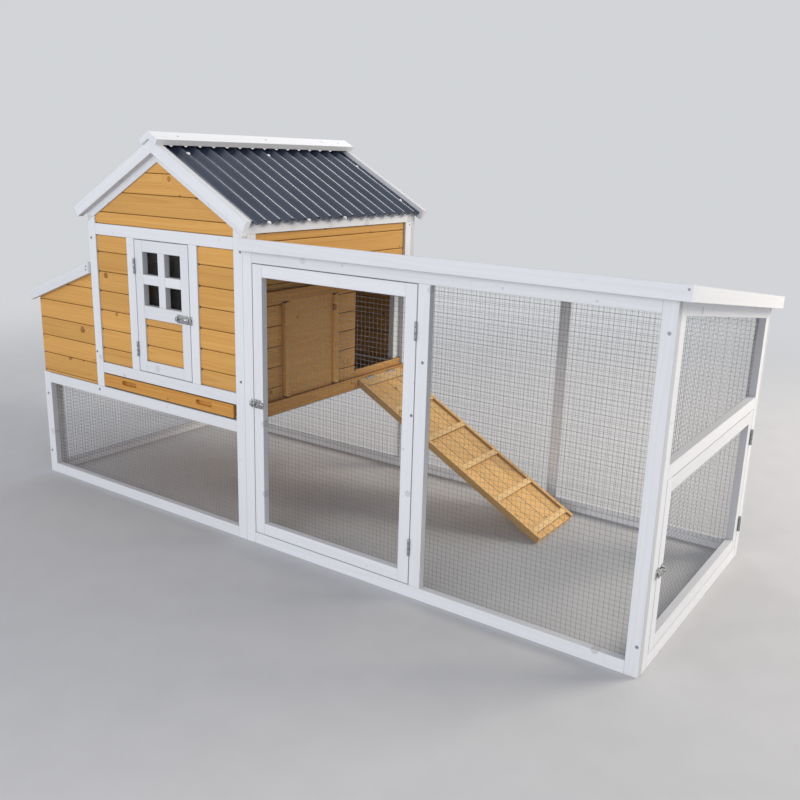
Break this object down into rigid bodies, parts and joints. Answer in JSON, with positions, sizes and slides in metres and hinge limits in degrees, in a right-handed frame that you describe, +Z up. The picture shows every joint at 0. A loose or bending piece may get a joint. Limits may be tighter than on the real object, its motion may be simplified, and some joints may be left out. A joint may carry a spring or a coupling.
{
  "type": "chicken coop",
  "caption": "Wooden chicken coop: raised boarded house with gable roof, side nest box, droppings tray and ramp, joined to a wire-mesh run with hinged doors and sliding bolts.",
  "frame": {"origin": "on the ground, under the middle of the overall box", "axes": "+X along the front from the nest box to the run, +Y from the front to the back, +Z up"},
  "size_m": [2.268, 0.912, 1.184],
  "materials": {
    "white_timber": "white painted",
    "honey_siding": "honey stained",
    "plain_timber": "amber stained",
    "roof_sheet": "slate, satin",
    "wire_mesh": "galvanised",
    "steel_fittings": "galvanised",
    "window_pane": "clear"
  },
  "bodies": {
    "frame": {"base_front_frame": "white_timber", "base_left_frame": "white_timber", "base_back_frame": "white_timber", "floor_joists": "white_timber", "house_front_frame": "white_timber", "house_back_frame": "white_timber", "house_left_frame": "white_timber", "house_right_frame": "white_timber", "roof_frame": "white_timber", "ridge_cap": "white_timber", "run_front_frame": "white_timber", "run_back_frame": "white_timber", "run_end_frame": "white_timber", "run_roof_purlins": "white_timber", "run_fascia": "white_timber", "house_front_siding": "honey_siding", "house_back_siding": "honey_siding", "house_left_siding": "honey_siding", "house_right_siding": "honey_siding", "nest_box_siding": "honey_siding", "perch_brackets": "honey_siding", "pop_door_guides": "plain_timber", "perch": "plain_timber", "nest_box_floor": "plain_timber", "nest_dividers": "plain_timber", "roof_sheets": "roof_sheet", "run_roof_sheet": "roof_sheet", "base_front_mesh": "wire_mesh", "base_left_mesh": "wire_mesh", "base_back_mesh": "wire_mesh", "run_front_mesh": "wire_mesh", "run_back_mesh": "wire_mesh", "run_end_mesh": "wire_mesh", "fixed_hinge_leaves": "steel_fittings", "hinge_pins": "steel_fittings", "bolt_keepers": "steel_fittings"},
    "house_door": {"house_door_frame": "white_timber", "house_door_boards": "honey_siding", "house_door_window": "window_pane", "house_door_hinge_leaves": "steel_fittings", "house_door_latch": "steel_fittings"},
    "house_bolt": {"house_door_bolt": "steel_fittings"},
    "run_door": {"run_door_frame": "white_timber", "run_door_mesh": "wire_mesh", "run_door_hinge_leaves": "steel_fittings", "run_door_latch": "steel_fittings"},
    "run_bolt": {"run_door_bolt": "steel_fittings"},
    "end_door": {"end_door_frame": "white_timber", "end_door_mesh": "wire_mesh", "end_door_hinge_leaves": "steel_fittings", "end_door_latch": "steel_fittings"},
    "end_bolt": {"end_door_bolt": "steel_fittings"},
    "nest_lid": {"nest_lid_boards": "white_timber", "nest_lid_sheet": "roof_sheet", "nest_lid_hinge_leaves": "steel_fittings"},
    "tray": {"tray_front": "plain_timber", "tray_pan": "plain_timber"},
    "ramp": {"ramp_boards": "plain_timber", "ramp_hinge_leaves": "steel_fittings"},
    "pop_slide": {"pop_door": "honey_siding"}
  },
  "joints": [
    {"name": "house_door_hinge", "type": "hinge", "parent": "frame", "child": "house_door", "pos_m": [-0.578, -0.432, 0.656], "axis": [0, 0, -1], "range_deg": [0, 150]},
    {"name": "house_bolt_slide", "type": "slide", "parent": "house_door", "child": "house_bolt", "axis": [1, 0, 0], "range_m": [0, 0.012]},
    {"name": "run_door_hinge", "type": "hinge", "parent": "frame", "child": "run_door", "pos_m": [0.468, -0.432, 0.433], "axis": [0, 0, 1], "range_deg": [0, 150]},
    {"name": "run_bolt_slide", "type": "slide", "parent": "run_door", "child": "run_bolt", "axis": [-1, 0, 0], "range_m": [0, 0.012]},
    {"name": "end_door_hinge", "type": "hinge", "parent": "frame", "child": "end_door", "pos_m": [1.109, 0.372, 0.247], "axis": [0, 0, 1], "range_deg": [0, 150]},
    {"name": "end_bolt_slide", "type": "slide", "parent": "end_door", "child": "end_bolt", "axis": [0, -1, 0], "range_m": [0, 0.012]},
    {"name": "nest_lid_hinge", "type": "hinge", "parent": "frame", "child": "nest_lid", "pos_m": [-0.8016, 0, 0.7802], "axis": [0, 1, 0], "range_deg": [0, 85]},
    {"name": "tray_slide", "type": "slide", "parent": "frame", "child": "tray", "axis": [0, -1, 0], "range_m": [0, 0.6]},
    {"name": "ramp_hinge", "type": "hinge", "parent": "frame", "child": "ramp", "pos_m": [-0.1034, 0.22, 0.401], "axis": [0, -1, 0], "range_deg": [0, 50]},
    {"name": "pop_door_slide", "type": "slide", "parent": "frame", "child": "pop_slide", "axis": [0, 1, 0], "range_m": [0, 0.353]}
  ]
}
